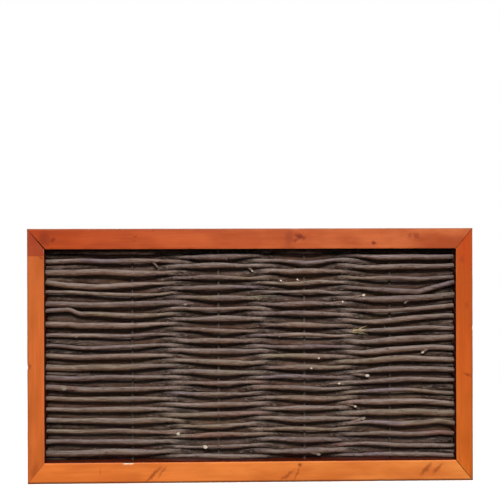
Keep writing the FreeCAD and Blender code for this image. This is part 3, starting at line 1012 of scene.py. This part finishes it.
def make_splinters(place, surface_y, rng):
    """The frayed fibres of a break: two dozen thin tapered splinters that fan out along the rod."""
    shapes = []
    for _ in range(SPLINTERS):
        from_place = np.array([rng.uniform(-0.04, 0.02), rng.uniform(1, 4) * MM, rng.uniform(-9, 9) * MM])
        base = np.array([place[0], surface_y, place[1]]) + from_place
        heading = np.array([1.0, rng.uniform(-0.3, 0.05), rng.uniform(-0.45, 0.45)])
        radii = rng.uniform(0.7, 1.5) * MM * SPLINTER_SHAPE
        length = rng.uniform(18, 44) * MM
        shapes.append(shoot(base, heading, length, radii, linear(FIBRE_TINT), (ON_FIBRE, ON_FIBRE), around=5))
    return shapes


def make_rods():
    """All the rods, from the lowest up, with their cut shoots and the one break."""
    bark = willow_bark()
    fresh = cut_willow("fresh_cut_willow", "#DCCFBB", "#B8A488")
    grey = cut_willow("weathered_cut_willow", "#8E8272", "#6A5C4E")
    frayed = cut_willow("torn_willow_fibre", "#C4AE86", "#86724F")
    weave = lay_weave()
    x, depth, lie, broad, _, side = weave
    cuts = {row: [] for row in range(len(RODS))}
    for finish, places in ((ON_FRESH_CUT, PALE_CUTS), (ON_OLD_CUT, GREY_CUTS)):
        for column, line, size, length, way in places:
            place = from_pixel(column, line)
            cuts[front_row(place, x, lie, side)].append((place, size, length, way, finish))
    break_place = from_pixel(*FRAYED_BREAK)
    broken = front_row(break_place, x, lie, side)
    column = int(np.argmin(np.abs(x - break_place[0])))
    for row, name in enumerate(RODS):
        shape = make_rod(row, weave, cuts[row])
        if row == broken:
            front = depth[row, column] - broad[row, column]
            shape = join([shape] + make_splinters(break_place, front, np.random.default_rng([SEED, 100])))
        points, faces, numbers, tints = shape
        materials = [bark, fresh, grey, frayed]
        piece = make_piece(name + "_bark", name, points, faces, materials, numbers, 50.0)
        # The tint at each point carries the bark's painted light and painted shade
        mark_points(piece, "bark_tint_with_painted_light", "FLOAT_COLOR", tints)


# Stakes and screws

RIB_PITCH = 7 * MM
RIB_HEIGHT = 0.6 * MM
STAKE_AROUND = 16
STAKE_STEPS_PER_RIB = 4
# How strong the painted highlight along the seams of each stake is: strong on the middle two, faint on the
# outer two, which stay dark as in shade
SEAM_HIGHLIGHTS = (0.25, 0.9, 0.85, 0.05)
SCREW_AROUND = 24
SCREW_STEPS = 170


def make_stakes():
    """Ribbed round bars.

    The radius rises at ribs that climb round the bar, left and right in turn, and along two seams.
    """
    steel = hot_rolled_steel()
    for name, rubbed_and_lit in zip(STAKES, SEAM_HIGHLIGHTS):
        low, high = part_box(name)
        middle_x, middle_y = (low.x + high.x) / 2, (low.y + high.y) / 2
        radius = (high.x - low.x) / 2
        count = int((high.z - low.z) / RIB_PITCH * STAKE_STEPS_PER_RIB)
        z = np.linspace(low.z, high.z, count)[:, None]
        turn = round_turn(STAKE_AROUND)
        climb = np.abs(np.mod(turn / np.pi + 0.5, 2) - 1)
        rib = np.clip(np.cos(2 * np.pi * (z / RIB_PITCH + climb)), 0, 1) ** 0.7
        seam = np.clip(np.abs(np.cos(turn)) - 0.9, 0, 1) * 10
        bar = radius - RIB_HEIGHT + RIB_HEIGHT * np.maximum(rib * (1 - seam), seam * np.ones_like(z))
        rings = np.stack([middle_x + bar * np.cos(turn), middle_y + bar * np.sin(turn), z + 0 * turn], -1)
        points, faces = tube(rings)
        piece = make_piece(name + "_bar", name, points, faces, [steel], sharp=60.0)
        # The seams carry a painted highlight
        mark_points(piece, "seam", "FLOAT", np.tile(rubbed_and_lit * (0.3 + 0.7 * np.clip(seam, 0, 1)), len(z)))


def make_screws():
    """Countersunk wood screws, each a profile turned about its axis.

    The head's face dips by the depth of the cross recess wherever a point lies on one of its two
    arms. Below the cone of the head, the shank carries a thread: a ridge that climbs one pitch
    for each turn.
    """
    head, shank, head_length, length, tip = 5.8 * MM, 3 * MM, 3 * MM, 120 * MM, 8 * MM
    arm, arm_length, recess = 0.9 * MM, 3.2 * MM, 2.2 * MM
    pitch, ridge, sunk = 3.4 * MM, 0.8 * MM, 0.5 * MM
    rim, rim_drop = 5.7 * MM, 0.2 * MM
    turn = round_turn(SCREW_AROUND)
    face_radius = np.array([0.05, 0.5, 0.9, 1.4, 2.0, 2.6, 3.1, 3.5, 4.5, 5.6]) * MM
    face_radius = np.append(face_radius, head)[:, None]
    wide, high = face_radius * np.cos(turn), face_radius * np.sin(turn)
    near, far = np.minimum(np.abs(wide), np.abs(high)), np.maximum(np.abs(wide), np.abs(high))
    on_arm = (near < arm) & (far < arm_length)
    face_depth = sunk + recess * on_arm + rim_drop * (face_radius > rim)
    below = np.linspace(head_length + sunk, length, SCREW_STEPS)[:, None]
    climb = np.mod(below / pitch - turn / (2 * np.pi), 1.0)
    thread = np.clip(1 - 3 * np.abs(climb - 0.5), 0, 1)
    point = np.clip((length - below) / tip, 0.05, 1)
    shank_radius = (shank - ridge + ridge * thread) * point
    radii = np.concatenate([face_radius + 0 * turn, shank_radius])
    depths = np.concatenate([face_depth, below + 0 * turn])
    zinc = yellow_zinc()
    shapes = []
    for face, inwards in ((LEFT, 1), (RIGHT, -1)):
        for height in (FLOOR + SCREW_RISE, TOP - SCREW_RISE):
            for place in SCREW_PLACES:
                x = face + inwards * depths
                y = place + inwards * radii * np.cos(turn)
                rings = np.stack([x, y, height + radii * np.sin(turn)], -1)
                points, faces = tube(rings)
                shapes.append((points, faces, [0] * len(faces), np.zeros((len(points), 4))))
    points, faces, numbers, _ = join(shapes)
    make_piece("corner_screws_zinc", "corner_screws", points, faces, [zinc], numbers, 40.0)


def knot(column, line, length, width, tilt, strength, upright=False):
    """A knot at a pixel of the image, its size in millimetres, along and across the grain."""
    x, z = from_pixel(column, line, PIXEL_AT_FRONT)
    along, across = (z, -x) if upright else (x, z)
    return along, across, length * MM, width * MM, tilt, strength


def make_frame():
    """The four boards, each with its own tone, knots and marks, and mitres that have opened a little; the top
    rail's darker tone and the bottom rail's paler one are partly painted light.
    """
    rng = np.random.default_rng([SEED, 200])
    rail_ends = ((OPENING_LEFT, LEFT), (OPENING_RIGHT, RIGHT))
    stile_ends = ((OPENING_LOW, FLOOR), (OPENING_HIGH, TOP))
    tight = ((0.0, 0.0), (0.0, 0.0))
    ends = end_grain()
    recess = shaded_recess_stain()
    # The top rail is stained darker and the bottom rail paler, partly their own colour and partly painted
    # light that grows towards the foot of the panel
    top = stained_softwood(
        "stained_softwood_top_rail", False, "#CB5016", "#B23E0A", "#EE8850", (0.02, -1.10),
        [
            knot(298.5, 236.5, 48, 20, 20, 0.85),
            knot(294.5, 240.5, 28, 14, -35, 0.6),
            knot(288, 239, 38, 66, 0, 0.4),
            knot(52.2, 239.5, 26, 14, -40, 0.75),
            knot(47.3, 245.5, 10, 10, 0, 0.6),
            knot(44, 239, 50, 60, 0, 0.48),
            knot(372.8, 243.3, 17, 17, 0, 0.85),
            knot(409, 235.5, 18, 26, 30, 0.42),
            knot(415.5, 236, 22, 28, -30, 0.48),
            knot(133.7, 235.8, 18, 6, 0, 0.55),
            knot(133.7, 240.5, 16, 6, 0, 0.4),
            knot(152, 230, 16, 8, 0, 0.6),
        ],
    )
    bottom = stained_softwood(
        "stained_softwood_bottom_rail", False, "#FA883A", "#EE772C", "#FFA250", (-0.01, 0.16),
        [
            knot(151.5, 474, 84, 14, -45, 0.62),
            knot(160.5, 471, 54, 9, -52, 0.4),
            knot(285.5, 475.5, 68, 13, -36, 0.5),
            knot(295, 474, 66, 10, -68, 0.45),
            knot(297.8, 465.3, 16, 14, 0, 0.75),
            knot(425, 470.5, 66, 18, -47, 0.55),
            knot(437, 470, 60, 17, -46, 0.48),
            knot(98.5, 471, 4, 44, 0, 0.3),
        ],
    )
    left = stained_softwood(
        "stained_softwood_left_stile", True, "#EA7834", "#D46725", "#D46B33", (0.02, -0.98),
        [
            knot(40.8, 257.4, 7, 16, 35, 0.6, True),
            knot(43.7, 257.4, 7, 14, -35, 0.6, True),
            knot(33, 238, 60, 60, 0, 0.2, True),
            knot(33, 470, 70, 24, 15, 0.28, True),
            knot(29.5, 365.5, 22, 12, 0, 0.5, True),
        ],
        from_pixel(38, 256, PIXEL_AT_FRONT)[1],
    )
    right = stained_softwood(
        "stained_softwood_right_stile", True, "#EC7A2C", "#D46418", "#B42200", (-0.02, 1.0),
        [
            knot(467.5, 376, 14, 38, 20, 0.5, True),
            knot(466, 306, 36, 14, 0, 0.25, True),
            knot(462, 260, 30, 16, 0, 0.3, True),
        ],
    )
    front = -DEPTH / 2
    chip_x = from_pixel(127, 462, PIXEL_AT_FRONT)[0]
    nick_z = from_pixel(28.5, 366, PIXEL_AT_FRONT)[1]
    make_board(
        "top_rail", [top, ends, recess], False, OPENING_HIGH, 1, rail_ends,
        ((7.0 * MM, 1.0 * MM), (2.2 * MM, 2.0 * MM)),
        [(0.18, RAIL_WIDTH, front, 14 * MM, 5 * MM, 1.2 * MM)], [], rng,
    )
    make_board(
        "bottom_rail", [bottom, ends, recess], False, OPENING_LOW, -1, rail_ends,
        ((0.6 * MM, 0.8 * MM), (3.0 * MM, 2.4 * MM)),
        [(0.52, RAIL_WIDTH, front, 18 * MM, 5 * MM, 1.5 * MM)],
        [
            (chip_x - 8 * MM, 1 * MM, front, 13 * MM, 5.5 * MM, 2.4 * MM),
            (chip_x + 12 * MM, 1 * MM, front, 9 * MM, 5 * MM, 2.0 * MM),
        ],
        rng,
    )
    make_board(
        "left_stile", [left, ends, recess], True, OPENING_LEFT, -1, stile_ends, tight,
        [(nick_z, STILE_WIDTH, front, 9 * MM, 6 * MM, 2.6 * MM)], [], rng,
    )
    make_board(
        "right_stile", [right, ends, recess], True, OPENING_RIGHT, 1, stile_ends, tight,
        [(0.62, STILE_WIDTH, front, 8 * MM, 5 * MM, 1.6 * MM)], [], rng,
    )


# Stage: floor, light and camera

LAMPS = (
    # Name, place, what it is aimed at, width and height, and power in watts
    ("key_softbox", (0.0, -9.1, 8.8), (0.0, 0.0, 0.5), (4.0, 4.0), 1830.0),
    ("back_softbox", (-1.2, 4.6, 2.2), (0.0, 0.0, 0.5), (2.2, 1.4), 150.0),
    ("left_softbox", (-6.0, 0.6, 0.6), (0.0, 0.0, 0.5), (2.0, 0.8), 130.0),
    ("right_softbox", (6.0, 0.6, 0.6), (0.0, 0.0, 0.5), (2.0, 0.8), 130.0),
)
AMBIENT = 0.04
FLOOR_SIZE = 60.0
FLOOR_LIFT = 0.28
# Distances over which the floor runs out to white, and its bounce grows weaker
WHITE_FROM, WHITE_TO = 1.3, 3.2
BOUNCE_FROM, BOUNCE_TO = 0.7, 1.6
FLOOR_BOUNCE_NEAR = "#7C7A76"
FLOOR_BOUNCE_FAR = "#3A3836"


def make_floor():
    """A pale floor that takes the panel's shadow near it and runs out to white further off."""
    half = FLOOR_SIZE / 2
    mesh = bpy.data.meshes.new("studio_floor")
    corners = [(-half, -half, FLOOR), (half, -half, FLOOR), (half, half, FLOOR), (-half, half, FLOOR)]
    mesh.from_pydata(corners, [], [(0, 1, 2, 3)])
    floor = bpy.data.objects.new("studio_floor", mesh)
    bpy.context.scene.collection.objects.link(floor)
    material = bpy.data.materials.new("pale_studio_floor")
    material.use_nodes = True
    tree = material.node_tree
    tree.nodes.clear()
    place = add(tree, "ShaderNodeTexCoord").outputs["Object"]
    away = add(tree, "ShaderNodeVectorMath", {0: place}, operation="LENGTH").outputs["Value"]
    fade = {"Value": away, "From Min": WHITE_FROM, "From Max": WHITE_TO}
    far = add(tree, "ShaderNodeMapRange", fade, interpolation_type="SMOOTHSTEP")
    seen = add(tree, "ShaderNodeLightPath").outputs["Is Camera Ray"]
    pale = add(tree, "ShaderNodeBsdfDiffuse", {"Color": linear("#FAFAFA")})
    lift = add(tree, "ShaderNodeEmission", {"Color": (1, 1, 1, 1), "Strength": FLOOR_LIFT})
    near_white = add(tree, "ShaderNodeAddShader", {0: pale, 1: lift})
    white = add(tree, "ShaderNodeEmission", {"Color": (1, 1, 1, 1), "Strength": 1.0})
    shown = add(tree, "ShaderNodeMixShader", {0: far, 1: near_white, 2: white})
    weaker = (away, BOUNCE_FROM, BOUNCE_TO, 1.0, linear(FLOOR_BOUNCE_FAR))
    sheet = overlay(tree, linear(FLOOR_BOUNCE_NEAR), [weaker])
    bounce = add(tree, "ShaderNodeBsdfDiffuse", {"Color": sheet})
    both = add(tree, "ShaderNodeMixShader", {0: seen, 1: bounce, 2: shown})
    add(tree, "ShaderNodeOutputMaterial", {"Surface": both})
    mesh.materials.append(material)


def make_world():
    """White where the camera, a reflection or glass looks at it, and a weak even light for the rest."""
    world = bpy.data.worlds.new("studio_world")
    world.use_nodes = True
    bpy.context.scene.world = world
    tree = world.node_tree
    tree.nodes.clear()
    path = add(tree, "ShaderNodeLightPath")
    looked_at = 0.0
    for ray in ("Is Camera Ray", "Is Glossy Ray", "Is Transmission Ray"):
        looked_at = add(tree, "ShaderNodeMath", {0: looked_at, 1: path.outputs[ray]}, operation="MAXIMUM")
    weak = add(tree, "ShaderNodeBackground", {"Color": (1, 1, 1, 1), "Strength": AMBIENT})
    white = add(tree, "ShaderNodeBackground", {"Color": (1, 1, 1, 1), "Strength": 1.0})
    both = add(tree, "ShaderNodeMixShader", {0: looked_at, 1: weak, 2: white})
    add(tree, "ShaderNodeOutputWorld", {"Surface": both})


def make_lamps():
    """Large soft lamps: the key high in front, and weaker ones behind and beside."""
    for name, place, target, size, power in LAMPS:
        lamp = bpy.data.lights.new(name, "AREA")
        lamp.shape = "RECTANGLE"
        lamp.size, lamp.size_y = size
        lamp.energy = power
        holder = bpy.data.objects.new(name, lamp)
        holder.location = place
        holder.rotation_euler = (Vector(target) - Vector(place)).to_track_quat("-Z", "Y").to_euler()
        bpy.context.scene.collection.objects.link(holder)


def make_camera():
    """The camera, level and a little to the left, with the lens that gives the photograph's scale."""
    camera = bpy.data.cameras.new("camera")
    camera.sensor_width = SENSOR
    camera.lens = SENSOR * EYE_DISTANCE / (IMAGE_SIZE * PIXEL_AT_FRONT)
    holder = bpy.data.objects.new("camera", camera)
    eye_x = EYE_SHIFT - EYE_DISTANCE * math.sin(EYE_TURN)
    holder.location = (eye_x, FRONT - EYE_DISTANCE * math.cos(EYE_TURN), EYE_HEIGHT)
    holder.rotation_euler = (math.pi / 2, EYE_ROLL, -EYE_TURN)
    bpy.context.scene.collection.objects.link(holder)
    bpy.context.scene.camera = holder


make_frame()
make_rods()
make_stakes()
make_screws()
make_floor()
make_world()
make_lamps()
make_camera()
bpy.context.scene.view_settings.view_transform = "Standard"
